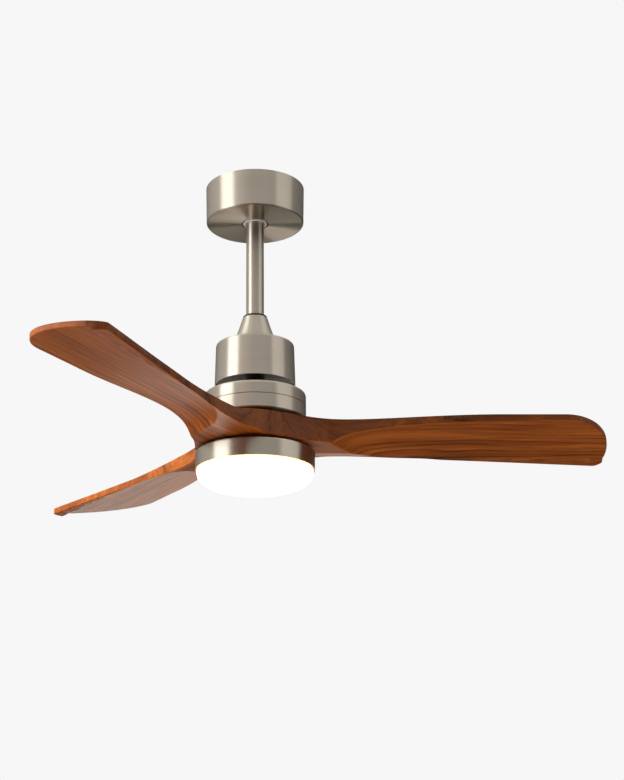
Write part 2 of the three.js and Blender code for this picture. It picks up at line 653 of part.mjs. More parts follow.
function lightHousing() {
  const { top, ringBottom, radiusTop, radiusBottom } = LIGHT;
  const wall = 1.6;
  const pan = turned([[FIT.shaft, top], [radiusTop - 2.6, top], [radiusTop - 0.7, top - 0.8],
    [radiusTop, top - 2.6], [radiusBottom, ringBottom], [radiusBottom - wall, ringBottom],
    [radiusTop - wall, top - 3], [radiusTop - 2.8, top - 1.7], [FIT.shaft, top - 1.7]]);
  const posts = azimuths(3, LED_SCREWS.first).map((a) => {
    return placed(disc(3.5, top - 1.2, LED_BOARD.top + GAP), LED_SCREWS.radius, a);
  });
  const ribs = azimuths(3, 30).map((a) => {
    return arcBlock(82.4, radiusBottom - 0.8, BAYONET.ribTop, BAYONET.ribBottom, a, BAYONET.ribWidth);
  });
  const holes = azimuths(3, HOUSING_SCREWS.first).map((a) => {
    return placed(disc(2, top + 1, top - 3), HOUSING_SCREWS.radius, a);
  });
  const threads = azimuths(3, LED_SCREWS.first).map((a) => {
    return placed(disc(1.7, -428, LED_BOARD.top - 1), LED_SCREWS.radius, a);
  });
  return cut(join(pan, ...posts, ...ribs), ...holes, ...threads);
}

function housingScrew(azimuth) {
  const near = LIGHT.top - 1.7 - GAP;
  const body = screw({ shank: 1.7, head: 3.4, headFar: near - 2, headNear: near, tip: -419.8 });
  return placed(body, HOUSING_SCREWS.radius, azimuth);
}

function ledBoard() {
  const { radius, top, bottom } = LED_BOARD;
  const chips = azimuths(12, 15).map((a) => {
    return placed(box([-3, 3], [-3, 3], [bottom - 0.9, bottom + 0.4]), 40, a);
  });
  const holes = azimuths(3, LED_SCREWS.first).map((a) => {
    return placed(disc(1.8, top + 1, bottom - 1), LED_SCREWS.radius, a);
  });
  return cut(join(disc(radius, top, bottom, SEGMENTS.large), ...chips), ...holes);
}

function ledScrew(azimuth) {
  const near = LED_BOARD.bottom - GAP;
  const body = screw({ shank: 1.4, head: 3, headFar: near - 1.5, headNear: near, tip: -430 });
  return placed(body, LED_SCREWS.radius, azimuth);
}

function ledDriver() {
  const body = box([20, 50], [-12, 12], [-433.4, LIGHT.top - 1.7 - GAP]);
  return join(body, box([22, 48], [-14, 14], [-426, LIGHT.top - 1.7 - GAP]));
}

function lightLead() {
  return bar([[0, -24.5, -291], [0, -18, -291], [0, -9, -293], [0, -2, -300], [0, 0, -310], [0, 0, -340],
    [0, 0, -400], [0, 0, -424], [1, 0, -430.6], [5, 0, -434], [12, 0, -433.8], [19.4, 0, -431.2]], 1.4, 32);
}

const DOME = { radius: 84.4, innerRadius: 79.6, rim: -451.5, wall: 2, squareness: 2.7 };

// A quarter of a squared circle, from the axis out to the rim.
function domeArc(radius, bottom, count) {
  const power = 2 / DOME.squareness;
  return steps(0, Math.PI / 2, count).map((angle) => {
    const across = Math.max(Math.sin(angle), 0) ** power;
    const down = Math.max(Math.cos(angle), 0) ** power;
    return [radius * across, lerp(DOME.rim, bottom, down)];
  });
}

function diffuser() {
  const rimZ = LIGHT.ringBottom - 0.5;
  const outside = domeArc(DOME.radius, LIGHT.bottom, 7);
  const lip = [[DOME.radius, rimZ], [81.8, rimZ], [81.8, BAYONET.lugTop], [DOME.innerRadius, BAYONET.lugTop]];
  const inside = domeArc(DOME.innerRadius, LIGHT.bottom + DOME.wall, 5).reverse();
  const lugs = azimuths(3, 30).map((a) => {
    return arcBlock(81, 84.6, BAYONET.lugTop, BAYONET.lugBottom, a, BAYONET.lugWidth);
  });
  return join(turned([...outside, ...lip, ...inside]), ...lugs);
}

// ---------------------------------------------------------------- assembly

const fan = new THREE.Group();
fan.name = 'ceiling_fan_with_light';

function add(name, geometry, finish) {
  const body = toGeometry(toSolid(geometry));
  const mesh = new THREE.Mesh(body, new THREE.MeshStandardMaterial(FINISH[finish]));
  mesh.name = name;
  fan.add(mesh);
}

function addEach(name, places, make, finish) {
  places.forEach((place, i) => add(`${name}_${i + 1}`, make(place), finish));
}

const bladeAzimuths = azimuths(BLADE_COUNT).map((a) => -a);
const boltAzimuths = bladeAzimuths.flatMap((a) => [a - BOLT_OFFSET, a + BOLT_OFFSET]);

add('ceiling_plate', ceilingPlate(), 'zinc');
add('hanger_bracket', hangerBracket(), 'zinc');
addEach('bracket_screw', [-1, 1], bracketScrew, 'steel');
add('terminal_block', terminalBlock(), 'whiteNylon');
add('canopy', canopy(), 'nickel');
add('ball_pin', ballPin(), 'steel');
add('hanger_ball', hangerBall(), 'whiteNylon');
add('downrod', downrod(), 'nickel');
add('motor_lead', motorLead(), 'rubber');
add('lead_connector', leadConnector(), 'whiteNylon');
add('coupling_cover', couplingCover(), 'nickel');
add('cover_grommet', coverGrommet(), 'rubber');
add('coupling', coupling(), 'zinc');
add('clevis_pin', clevisPin(), 'steel');
add('cotter_clip', cotterClip(), 'steel');
addEach('coupling_set_screw', [-1, 1], couplingSetScrew, 'blackSteel');
add('motor_shaft', motorShaft(), 'steel');
add('motor_cover', motorCover(), 'nickel');
addEach('cover_screw', azimuths(3, 90), coverScrew, 'steel');
add('driver_tray', driverTray(), 'blackPlastic');
add('driver_board', driverBoard(), 'circuit');
add('upper_bearing_inner_race', innerRace(UPPER_BEARING), 'steel');
add('lower_bearing_inner_race', innerRace(LOWER_BEARING), 'steel');
add('stator_core', stator(), 'steel');
add('stator_winding', statorWinding(), 'copper');
add('upper_bearing_outer_race', outerRace(UPPER_BEARING), 'steel');
add('lower_bearing_outer_race', outerRace(LOWER_BEARING), 'steel');
add('rotor_upper_shell', rotorUpperShell(), 'nickel');
add('rotor_lower_shell', rotorLowerShell(), 'nickel');
add('flux_ring', fluxRing(), 'steel');
add('magnet_ring', magnetRing(), 'magnet');
add('blade_mount_ring', bladeMountRing(), 'blackPlastic');
addEach('blade', bladeAzimuths, blade, 'walnut');
add('blade_clamp_plate', bladeClampPlate(), 'blackSteel');
addEach('blade_bolt', boltAzimuths, bladeBolt, 'blackSteel');
add('light_lead', lightLead(), 'rubber');
add('light_mount_plate', lightMountPlate(), 'zinc');
add('shaft_nut', shaftNut(), 'zinc');
add('light_housing', lightHousing(), 'nickel');
addEach('housing_screw', azimuths(3, HOUSING_SCREWS.first), housingScrew, 'steel');
add('led_board', ledBoard(), 'whiteBoard');
add('led_driver', ledDriver(), 'whiteNylon');
addEach('led_screw', azimuths(3, LED_SCREWS.first), ledScrew, 'steel');
add('diffuser', diffuser(), 'opal');

export default fan;
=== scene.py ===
"""Looks for a downrod ceiling fan with a light below: fine pieces, materials, lights and the camera."""

import json
import math

import bpy
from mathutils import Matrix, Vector


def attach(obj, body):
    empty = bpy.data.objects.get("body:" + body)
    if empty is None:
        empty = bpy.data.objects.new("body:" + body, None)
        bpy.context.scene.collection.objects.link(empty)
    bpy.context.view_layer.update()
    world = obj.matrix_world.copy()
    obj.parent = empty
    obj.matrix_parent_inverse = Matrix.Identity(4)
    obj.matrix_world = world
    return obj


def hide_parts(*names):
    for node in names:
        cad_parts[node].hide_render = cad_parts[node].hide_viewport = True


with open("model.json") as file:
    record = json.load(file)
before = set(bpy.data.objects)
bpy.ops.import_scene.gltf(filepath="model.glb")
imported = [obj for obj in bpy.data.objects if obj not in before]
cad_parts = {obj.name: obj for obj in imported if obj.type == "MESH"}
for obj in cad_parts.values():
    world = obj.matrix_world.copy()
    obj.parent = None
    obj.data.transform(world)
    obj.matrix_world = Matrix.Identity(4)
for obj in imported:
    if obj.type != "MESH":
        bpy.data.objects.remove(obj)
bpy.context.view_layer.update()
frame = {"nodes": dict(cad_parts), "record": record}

# ---------------------------------------------------------------- dimensions, in mm

MM = 0.001
GAP = 0.3                  # clearance between touching pieces
TURNS = 160                # steps round a turned piece
FILLET = 0.6               # radius that takes the sharpness off a turned corner

BALL = {"z": -32, "radius": 23, "neck": 17.8, "neck_bottom": -58.5}
ROD = {"outer": 13.35, "inner": 11.35, "top": -12, "bottom": -247}
CANOPY = {"top": -0.3, "bottom": -57.8, "radius_top": 75.1, "radius_bottom": 74, "wall": 1.3, "hole": 20.8}
COVER = {"top": -255.6, "bottom": -318.8, "radius_top": 58.4, "radius_bottom": 59.8, "wall": 1.5}
ROTOR = {"top": -332.8, "seam": -352.4, "bottom": -373.5, "radius": 75, "wall": 2.8}
BEARING = {"hole": 10.8, "seat": 15.3, "boss": 19}         # radii in both rotor shells
HUB = {"top": -379, "bottom": -418, "bore": 16, "rim_top": 75.6, "rim_bottom": 86}
LIGHT = {"top": -421.8, "ring_bottom": -448.5, "radius_top": 87.4, "radius_bottom": 87, "bottom": -476}
BELL = {"top": -213, "bottom": -254.3, "throat": 18.9, "slope": 0.31, "wall": 1.4,
        "foot": 7.9, "foot_depth": 6}
DOME = {"radius": 84.4, "inner_radius": 79.6, "rim": -451.5, "wall": 2, "squareness": 2.7}


# ---------------------------------------------------------------- mesh helpers

def lerp(a, b, t):
    return a + (b - a) * t


def smoothstep(x, low, high):
    t = min(max((x - low) / (high - low), 0), 1)
    return t * t * (3 - 2 * t)


def softened(distance, softness):
    """Follows a distance where it is positive, and eases to nothing where it is negative."""
    return (distance + math.hypot(distance, softness)) / 2


def steps(start, end, count):
    """Evenly spaced values from one number to another, both included."""
    return [lerp(start, end, i / count) for i in range(count + 1)]


def spline(points, pieces=6):
    """Points along a smooth curve through a short run of outline points."""
    ends = [points[0], *points, points[-1]]
    run = []
    for a, b, c, d in zip(ends, ends[1:], ends[2:], ends[3:]):
        for k in range(pieces):
            u = k / pieces
            run.append(tuple(
                0.5 * (2 * q + (r - p) * u + (2 * p - 5 * q + 4 * r - s) * u ** 2
                       + (3 * q - p - 3 * r + s) * u ** 3)
                for p, q, r, s in zip(a, b, c, d)
            ))
    return [*run, points[-1]]


def rounded(outline, radius=FILLET, pieces=3):
    """A closed outline with an arc in place of each corner that is off the axis."""
    points = []
    for i, corner in enumerate(outline):
        if corner[0] < 0.01:
            points.append(tuple(corner))
            continue
        corner = Vector(corner)
        sides = [Vector(outline[i - 1]) - corner, Vector(outline[(i + 1) % len(outline)]) - corner]
        start, end = (corner + side.normalized() * min(radius, 0.4 * side.length) for side in sides)
        for k in range(pieces + 1):
            u = k / pieces
            points.append(tuple(start * (1 - u) ** 2 + corner * 2 * u * (1 - u) + end * u ** 2))
    return points


def new_piece(name, vertices, faces):
    mesh = bpy.data.meshes.new(name)
    mesh.from_pydata([tuple(MM * v for v in point) for point in vertices], [], faces)
    mesh.shade_smooth()
    piece = bpy.data.objects.new(name, mesh)
    bpy.context.scene.collection.objects.link(piece)
    return piece


def turned(name, outline, turns=TURNS):
    """A closed outline of (radius, height) points, turned about the Z axis."""
    vertices, rings = [], []
    for radius, height in outline:
        if radius < 0.01:
            rings.append([len(vertices)] * turns)
            vertices.append((0, 0, height))
            continue
        rings.append(range(len(vertices), len(vertices) + turns))
        for k in range(turns):
            angle = 2 * math.pi * k / turns
            vertices.append((radius * math.cos(angle), radius * math.sin(angle), height))
    faces = []
    for i, ring in enumerate(rings):
        other = rings[(i + 1) % len(rings)]
        for k in range(turns):
            corners = [ring[k], ring[(k + 1) % turns], other[(k + 1) % turns], other[k]]
            kept = list(dict.fromkeys(corners))
            if len(kept) > 2:
                faces.append(kept)
    piece = new_piece(name, vertices, faces)
    weighted = piece.modifiers.new("weighted_normals", "WEIGHTED_NORMAL")
    weighted.keep_sharp = True
    return piece


def stand_in(piece, node, body, slot):
    """The piece is shown in place of a CAD node, and moves with its body."""
    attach(piece, body)
    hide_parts(node)
    piece.data.materials.append(looks[slot])


# ---------------------------------------------------------------- material helpers

class Look:
    """One Principled material, with short calls to add the nodes that feed it."""

    def __init__(self, name, colour=(0.5, 0.5, 0.5), **settings):
        self.material = bpy.data.materials.new(name)
        self.material.use_nodes = True
        self.tree = self.material.node_tree
        self.shader = self.tree.nodes["Principled BSDF"]
        self.shader.inputs["Base Color"].default_value = (*colour, 1)
        self.material.diffuse_color = (*colour, 1)
        for socket, value in settings.items():
            self.shader.inputs[socket.replace("_", " ")].default_value = value

    def node(self, kind, inputs=None, **settings):
        made = self.tree.nodes.new("ShaderNode" + kind)
        for name, value in settings.items():
            setattr(made, name, value)
        for socket, value in (inputs or {}).items():
            self.feed(made.inputs[socket], value)
        return made

    def feed(self, socket, value):
        if isinstance(value, bpy.types.NodeSocket):
            self.tree.links.new(value, socket)
        else:
            socket.default_value = value

    def math(self, operation, *values):
        return self.node("Math", dict(enumerate(values)), operation=operation).outputs[0]

    def noise(self, vector, scale=1, detail=4, roughness=0.5):
        inputs = {"Vector": vector, "Scale": scale, "Detail": detail, "Roughness": roughness}
        return self.node("TexNoise", inputs).outputs["Fac"]

    def scaled(self, vector, factors):
        return self.node("VectorMath", {0: vector, 1: factors}, operation="MULTIPLY").outputs[0]

    def spread(self, value, low, high, start=0.3, end=0.7):
        inputs = {"Value": value, "From Min": start, "From Max": end, "To Min": low, "To Max": high}
        return self.node("MapRange", inputs).outputs[0]

    def ramp(self, value, *stops):
        made = self.node("ValToRGB", {"Fac": value})
        elements = made.color_ramp.elements
        while len(elements) < len(stops):
            elements.new(0.5)
        for element, (position, colour) in zip(elements, stops):
            element.position = position
            element.color = (*colour, 1)
        return made.outputs["Color"]

    def blend(self, factor, first, second):
        made = self.node("Mix", {"Factor": factor}, data_type="RGBA")
        self.feed(made.inputs["A"], first)
        self.feed(made.inputs["B"], second)
        return made.outputs["Result"]

    def bump(self, height, strength, distance):
        inputs = {"Height": height, "Strength": strength, "Distance": distance}
        self.feed(self.shader.inputs["Normal"], self.node("Bump", inputs).outputs[0])

    def use(self, socket, value):
        self.feed(self.shader.inputs[socket], value)


def tinted(colour, factor):
    return tuple(min(channel * factor, 1) for channel in colour)


def turned_metal(name, colour, roughness, anisotropy, contrast):
    """Metal brushed while it turned: fine lines run round the spin axis on every face."""
    look = Look(name, colour, Metallic=1.0, Anisotropic=anisotropy, Anisotropic_Rotation=0.25)
    place = look.node("TexCoord").outputs["Object"]
    x, y, z = look.node("SeparateXYZ", {0: place}).outputs
    radius = look.math("SQRT", look.math("ADD", look.math("POWER", x, 2), look.math("POWER", y, 2)))
    around = [look.math("MULTIPLY", look.math("DIVIDE", side, radius), 1.6) for side in (x, y)]
    line = look.math("ADD", radius, z)
    fine = look.node("CombineXYZ", {0: around[0], 1: around[1], 2: look.math("MULTIPLY", line, 2600)})
    broad = look.node("CombineXYZ", {0: around[0], 1: around[1], 2: look.math("MULTIPLY", line, 420)})
    fine_lines = look.noise(fine.outputs[0], detail=3)
    broad_lines = look.noise(broad.outputs[0], detail=2)
    lines = look.math("ADD", look.math("MULTIPLY", fine_lines, 0.6), look.math("MULTIPLY", broad_lines, 0.4))
    shade = look.ramp(lines, (0.3, tinted(colour, 1 - contrast)), (0.7, tinted(colour, 1 + contrast)))
    look.use("Base Color", shade)
    look.use("Roughness", look.spread(lines, roughness - 0.05, roughness + 0.07))
    look.use("Tangent", look.node("Tangent", direction_type="RADIAL", axis="Z").outputs[0])
    look.bump(lines, 0.06, 0.00004)
    return look.material


def cast_finish(name, colour, roughness, grain, depth, **settings):
    """A moulded, plated or coated surface: soft blotches, fine grain and a little relief."""
    look = Look(name, colour, **settings)
    place = look.node("TexCoord").outputs["Object"]
    blotches = look.noise(place, scale=38, detail=3)
    speckle = look.noise(place, scale=grain, detail=5, roughness=0.65)
    mixed = look.math("ADD", look.math("MULTIPLY", blotches, 0.5), look.math("MULTIPLY", speckle, 0.5))
    look.use("Base Color", look.ramp(mixed, (0.32, tinted(colour, 0.82)), (0.68, tinted(colour, 1.12))))
    look.use("Roughness", look.spread(mixed, roughness - 0.06, roughness + 0.08))
    look.bump(speckle, 0.2, depth)
    return look.material


def walnut():
    """Oiled walnut: long growth lines that run with the blade, open pores and slow changes of tone."""
    dark, mid, light = (0.06, 0.016, 0.003), (0.27, 0.062, 0.006), (0.46, 0.13, 0.014)
    look = Look("walnut", mid, Coat_Weight=0.04, Coat_Roughness=0.22, Specular_IOR_Level=0.22)
    grain = look.node("Attribute", attribute_name="grain").outputs["Vector"]
    x, c, z = look.node("SeparateXYZ", {0: grain}).outputs
    slow = look.noise(look.scaled(grain, (3, 9, 5)), detail=2)
    ripple = look.noise(look.scaled(grain, (7, 60, 20)), detail=3)
    bent = look.math("ADD", c, look.math("MULTIPLY", slow, 0.06))
    bent = look.math("ADD", bent, look.math("MULTIPLY", ripple, 0.008))
    bent = look.math("ADD", bent, look.math("MULTIPLY", z, 0.1))
    phase = look.math("FRACT", look.math("MULTIPLY", bent, 75))
    rings = look.ramp(phase, (0.0, (0.1,) * 3), (0.12, (0.62,) * 3), (0.7, (0.78,) * 3), (0.93, (0.5,) * 3),
                      (1.0, (0.1,) * 3))
    shown = look.spread(look.noise(look.scaled(grain, (4, 22, 10)), detail=2), 0.15, 1, 0.4, 0.62)
    lines = look.math("ADD", look.math("MULTIPLY", look.math("SUBTRACT", rings, 0.7), shown), 0.7)
    tone = look.noise(look.scaled(grain, (3, 38, 12)), detail=4, roughness=0.6)
    fibres = look.noise(look.scaled(grain, (16, 900, 90)), detail=3, roughness=0.6)
    level = look.math("ADD", look.math("MULTIPLY", lines, 0.44), look.math("MULTIPLY", tone, 0.62))
    level = look.math("ADD", level, look.math("MULTIPLY", look.math("SUBTRACT", fibres, 0.5), 0.5))
    look.use("Base Color", look.ramp(level, (0.36, dark), (0.6, mid), (0.8, light)))
    pores = look.spread(fibres, 0, 1, 0.3, 0.5)
    look.use("Roughness", look.spread(pores, 0.48, 0.38, 0, 1))
    look.bump(look.math("ADD", pores, look.math("MULTIPLY", lines, 0.3)), 0.1, 0.0001)
    return look.material


def opal():
    """A lit diffuser: even white, turning amber where the rim sits inside the metal ring."""
    look = Look("opal_plastic", (0.96, 0.95, 0.92), Roughness=0.25, Emission_Strength=5)
    place = look.node("TexCoord").outputs["Object"]
    height = look.node("SeparateXYZ", {0: place}).outputs[2]
    cloud = look.noise(place, scale=60, detail=2)
    rim = MM * LIGHT["ring_bottom"]
    uneven = look.math("ADD", height, look.math("MULTIPLY", cloud, 0.0004))
    share = look.spread(uneven, 0, 1, rim - 0.0055, rim + 0.0012)
    white, cream = (1.0, 0.985, 0.96), (1.0, 0.93, 0.8)
    amber, brown = (0.9, 0.42, 0.1), (0.5, 0.16, 0.03)
    look.use("Emission Color", look.ramp(share, (0.0, white), (0.45, cream), (0.8, amber), (1.0, brown)))
    look.use("Roughness", look.spread(cloud, 0.2, 0.3))
    return look.material


def circuit_board():
    """Green solder mask with paler copper tracks in a square maze."""
    look = Look("circuit_board", (0.03, 0.19, 0.08), Coat_Weight=0.4)
    place = look.node("TexCoord").outputs["Object"]
    tracks = look.node("TexBrick", {"Vector": place, "Scale": 150, "Mortar Size": 0.06}).outputs["Fac"]
    cloud = look.noise(place, scale=120)
    board = look.ramp(cloud, (0.3, (0.02, 0.15, 0.06)), (0.7, (0.04, 0.23, 0.1)))
    look.use("Base Color", look.blend(tracks, board, (0.12, 0.36, 0.16, 1)))
    look.use("Roughness", look.spread(cloud, 0.3, 0.42))
    look.bump(tracks, 0.3, 0.00005)
    return look.material


looks = {
    "brushed_nickel": turned_metal("brushed_nickel", (0.72, 0.63, 0.51), 0.36, 1.0, 0.04),
    "walnut": walnut(),
    "opal_plastic": opal(),
    "zinc_steel": cast_finish("zinc_steel", (0.6, 0.62, 0.64), 0.36, 700, 0.00004, Metallic=1.0),
    "steel": turned_metal("steel", (0.55, 0.55, 0.56), 0.3, 0.4, 0.08),
    "black_steel": cast_finish("black_steel", (0.035, 0.035, 0.038), 0.4, 900, 0.00004, Metallic=0.8),
    "white_nylon": cast_finish("white_nylon", (0.84, 0.84, 0.82), 0.42, 800, 0.00005),
    "black_plastic": cast_finish("black_plastic", (0.012, 0.012, 0.012), 0.34, 1100, 0.00005),
    "cable_rubber": cast_finish("cable_rubber", (0.018, 0.017, 0.016), 0.55, 1400, 0.00006),
    "circuit_board": circuit_board(),
    "white_board": cast_finish("white_board", (0.82, 0.82, 0.8), 0.35, 500, 0.00003),
    "copper_wire": turned_metal("copper_wire", (0.62, 0.27, 0.12), 0.32, 0.4, 0.25),
    "magnet": cast_finish("magnet", (0.09, 0.09, 0.1), 0.5, 900, 0.00008, Metallic=0.6),
}

for part in frame["record"]["subparts"]:
    data = frame["nodes"][part["node"]].data
    data.materials.clear()
    data.materials.append(looks[part["material_slot"]])


# ---------------------------------------------------------------- canopy, rod and ball

def canopy():
    top, bottom, hole, wall = CANOPY["top"], CANOPY["bottom"], CANOPY["hole"], CANOPY["wall"]
    wide, narrow = CANOPY["radius_top"], CANOPY["radius_bottom"]
    outline = [(wide, top), (narrow, bottom + 1.2), (narrow - 1.2, bottom), (hole, bottom),
               (hole, bottom + wall), (narrow - 2.6, bottom + wall), (narrow - wall, bottom + 2.8),
               (wide - wall, top)]
    return turned("canopy_turned", rounded(outline))


def hanger_ball():
    fit = ROD["outer"] + GAP
    first = math.asin(fit / BALL["radius"])
    last = math.pi - math.asin(BALL["neck"] / BALL["radius"])
    arc = []
    for k in range(25):
        angle = lerp(first, last, k / 24)
        arc.append((BALL["radius"] * math.sin(angle), BALL["z"] + BALL["radius"] * math.cos(angle)))
    bottom = BALL["neck_bottom"]
    mouth = [(BALL["neck"], bottom + 0.8), (BALL["neck"] - 0.8, bottom), (14.8, bottom), (fit, bottom + 4.5)]
    return turned("hanger_ball_turned", [*arc, *mouth])


def downrod():
    inner, outer, top, bottom = ROD["inner"], ROD["outer"], ROD["top"], ROD["bottom"]
    outline = [(inner, top), (outer, top), (outer, bottom), (inner, bottom)]
    return turned("downrod_turned", rounded(outline, 0.4), 96)


# ---------------------------------------------------------------- coupling cover and motor

def bell_radius(z):
    """A slim cone that turns out into a foot where it sits on the motor cover."""
    cone = BELL["throat"] + BELL["slope"] * (BELL["top"] - z)
    return cone + BELL["foot"] * math.exp((BELL["bottom"] - z) / BELL["foot_depth"])


def coupling_cover():
    foot, throat, mouth = COVER["top"] + GAP, BELL["top"] - 0.8, 15.9
    rim = BELL["top"] + 0.8
    outside = [(bell_radius(z), z) for z in steps(BELL["top"], BELL["bottom"], 36)]
    inside = [(bell_radius(z + 1) - BELL["wall"], z) for z in steps(foot, throat, 24)]
    outline = [(mouth, rim), (18.2, rim), *outside, (40.2, foot), *inside, (mouth, throat)]
    return turned("coupling_cover_turned", outline)


def cover_grommet():
    rod, lip, neck = ROD["outer"], 18, 15.6
    outline = [(rod, -209.2), (lip - 0.7, -209.2), (lip, -209.9), (lip, -211.9), (neck, -211.9),
               (neck, -214.6), (rod, -214.6)]
    return turned("cover_grommet_turned", rounded(outline, 0.25), 96)


def motor_cover():
    top, bottom, wall, hole = COVER["top"], COVER["bottom"], COVER["wall"], 20.6
    upper, lower = COVER["radius_top"], COVER["radius_bottom"]
    shoulder = spline([(upper - 3.2, top), (upper - 1.1, top - 0.8), (upper - 0.15, top - 3.2)], 4)
    outline = [(hole, top), *shoulder, (lower, bottom), (lower - wall, bottom),
               (upper - wall, top - 3.6), (upper - 3.4, top - wall), (hole, top - wall)]
    return turned("motor_cover_turned", rounded(outline, 0.35))


def rotor_upper_shell():
    top, seam, radius, wall = ROTOR["top"], ROTOR["seam"] + 0.35, ROTOR["radius"], ROTOR["wall"]
    hole, seat, boss = BEARING["hole"], BEARING["seat"], BEARING["boss"]
    plate, seat_top, boss_bottom = top - 2.6, -335.2, -343
    shoulder = spline([(radius - 3.8, top), (radius - 1.2, top - 1), (radius, top - 3.8)], 4)
    outline = [(hole, top), *shoulder, (radius, seam), (radius - wall, seam), (radius - wall, top - 4.2),
               (radius - 4.4, plate), (boss, plate), (boss, boss_bottom), (seat, boss_bottom),
               (seat, seat_top), (hole, seat_top)]
    return turned("rotor_upper_shell_turned", rounded(outline, 0.35))


def rotor_lower_shell():
    seam, bottom, radius = ROTOR["seam"] - 0.35, ROTOR["bottom"], ROTOR["radius"]
    hole, seat, boss = BEARING["hole"], BEARING["seat"], BEARING["boss"]
    plate, seat_bottom, boss_top, boss_bottom = bottom + 2.7, -373.3, -366, -375.5
    spigot, spigot_top = radius - ROTOR["wall"] - GAP, seam + 7
    outline = [(hole, boss_bottom), (hole, seat_bottom), (seat, seat_bottom), (seat, boss_top),
               (boss, boss_top), (boss, plate), (spigot - 1.6, plate), (spigot - 1.6, spigot_top),
               (spigot, spigot_top), (spigot, seam), (radius, seam), (radius, bottom + 1.2),
               (radius - 1.2, bottom), (boss, bottom), (boss, boss_bottom)]
    return turned("rotor_lower_shell_turned", rounded(outline, 0.35))


# The black ring is painted shade: a dark piece standing in for the shadowed recess between the rotor and the
# blades.
def blade_mount_ring():
    top, bottom = ROTOR["bottom"] - GAP, HUB["top"] + GAP
    outline = [(20, top), (64, top), (64, bottom), (20, bottom)]
    return turned("blade_mount_ring_turned", rounded(outline, 0.4), 96)


# ---------------------------------------------------------------- blades

# Across a blade, c runs from the trailing side (negative) to the leading side (positive).
LEADING = {"sign": 1, "waist": 26, "widest": 57, "grows": lambda x: smoothstep(x, 70, 350)}
TRAILING = {"sign": -1, "waist": 31, "widest": 97, "grows": lambda x: (softened(x - 100, 20) / 412) ** 0.85}
CREST = {"trailing": 215, "leading": 106, "slope": 0.6, "sweep_decay": 12, "decay": 9, "softness": 1.4}
TIP = {"length": 524, "crown": -64, "trailing": 512, "leading": 446}
ROOT_Z = {"trailing_top": -384, "trailing_bottom": -416, "leading_bottom": -413}
PADDLE_Z = {"trailing_top": -404.5, "trailing_bottom": -412, "leading_top": -380, "leading_bottom": -389}
FULL_PITCH = 300           # x by which the trailing side has dropped all the way
SCOOP = 58                 # reach of the rise along the leading side
WEB_RISE = 4
EDGE_ROUND = 1.6
COLUMNS, HUB_ROWS, BLADE_ROWS = 44, 26, 84
RECESS = {"radius": 60.4, "roof": -412}


def sector_arc(radius):
    """A blade's share of a circle: a third of a turn, less the joint."""
    half = math.pi / 3 - GAP / 2 / radius

    def point(t):
        angle = lerp(-half, half, t)
        return radius * math.cos(angle), radius * math.sin(angle)

    return point


def side_outline(side, rim, reach):
    """Each side of a blade flares into the hub's rim, narrows to a waist and widens to the paddle."""
    rim_x, rim_c = sector_arc(rim)(1)

    def paddle(x):
        return lerp(side["waist"], side["widest"], side["grows"](x))

    flare = rim_c - paddle(rim_x)

    def outline(x):
        faded = math.exp(-(max(x - rim_x, 0) / reach) ** 1.3)
        return side["sign"] * (paddle(x) + flare * faded)

    return outline


PLAN = {
    "leading_top": side_outline(LEADING, HUB["rim_top"], 43),
    "leading_bottom": side_outline(LEADING, HUB["rim_bottom"], 60),
    "trailing_top": side_outline(TRAILING, HUB["rim_top"], 43),
    "trailing_bottom": side_outline(TRAILING, HUB["rim_bottom"], 52),
}


def crest_x(c):
    """The sharp crest where the flat hub face ends: a slant that sweeps outwards on the trailing side."""
    trailing_c = PLAN["trailing_bottom"](CREST["trailing"])
    leading_c = PLAN["leading_bottom"](CREST["leading"])
    sweep = CREST["trailing"] - CREST["leading"] - CREST["slope"] * (leading_c - trailing_c)
    slant = CREST["leading"] + CREST["slope"] * (leading_c - c)
    return slant + sweep * math.exp((trailing_c - c) / CREST["sweep_decay"])


def tip_x(c):
    """The paddle's end is two quarter ellipses that meet at the crown."""
    side = "leading" if c > TIP["crown"] else "trailing"
    end = PLAN[f"{side}_bottom"](TIP[side])
    share = (c - TIP["crown"]) / (end - TIP["crown"])
    return TIP["length"] - (TIP["length"] - TIP[side]) * (1 - math.sqrt(max(1 - share ** 2, 0)))


def edge_heights(x):
    """Heights of a blade's four long edges."""
    pitch = smoothstep(x, 0, FULL_PITCH)
    scoop = math.exp((CREST["leading"] - x) / SCOOP)
    return {
        "leading_top": PADDLE_Z["leading_top"],
        "leading_bottom": lerp(PADDLE_Z["leading_bottom"], ROOT_Z["leading_bottom"], scoop),
        "trailing_top": lerp(ROOT_Z["trailing_top"], PADDLE_Z["trailing_top"], pitch),
        "trailing_bottom": lerp(ROOT_Z["trailing_bottom"], PADDLE_Z["trailing_bottom"], pitch),
    }


def top_height(x, c, t):
    edges = edge_heights(x)
    pitched = lerp(edges["trailing_top"], edges["leading_top"], t)
    return lerp(HUB["top"], pitched, smoothstep(math.hypot(x, c), 66, 126))


def bottom_height(x, c, t):
    """The hub face is flat, and lifts a little along the trailing side of the web."""
    face = HUB["bottom"] + WEB_RISE * smoothstep(-c, 12, 46) * smoothstep(x, 52, 96)
    edges = edge_heights(x)
    pitched = lerp(edges["trailing_bottom"], edges["leading_bottom"], t)
    past = softened(x - crest_x(c), CREST["softness"])
    return lerp(pitched, face, math.exp(-past / CREST["decay"]))


def patch(start, end, trailing, leading):
    """A patch between a start row and an end row whose two sides follow given curves."""
    def point(t, q):
        place = []
        for axis in (0, 1):
            across = lerp(start(t)[axis], end(t)[axis], q)
            trailing_pull = trailing(q)[axis] - lerp(start(0)[axis], end(0)[axis], q)
            leading_pull = leading(q)[axis] - lerp(start(1)[axis], end(1)[axis], q)
            place.append(across + (1 - t) * trailing_pull + t * leading_pull)
        return tuple(place)

    return point


def along(outline, start, end):
    def point(q):
        x = lerp(start, end, q)
        return x, outline(x)

    return point


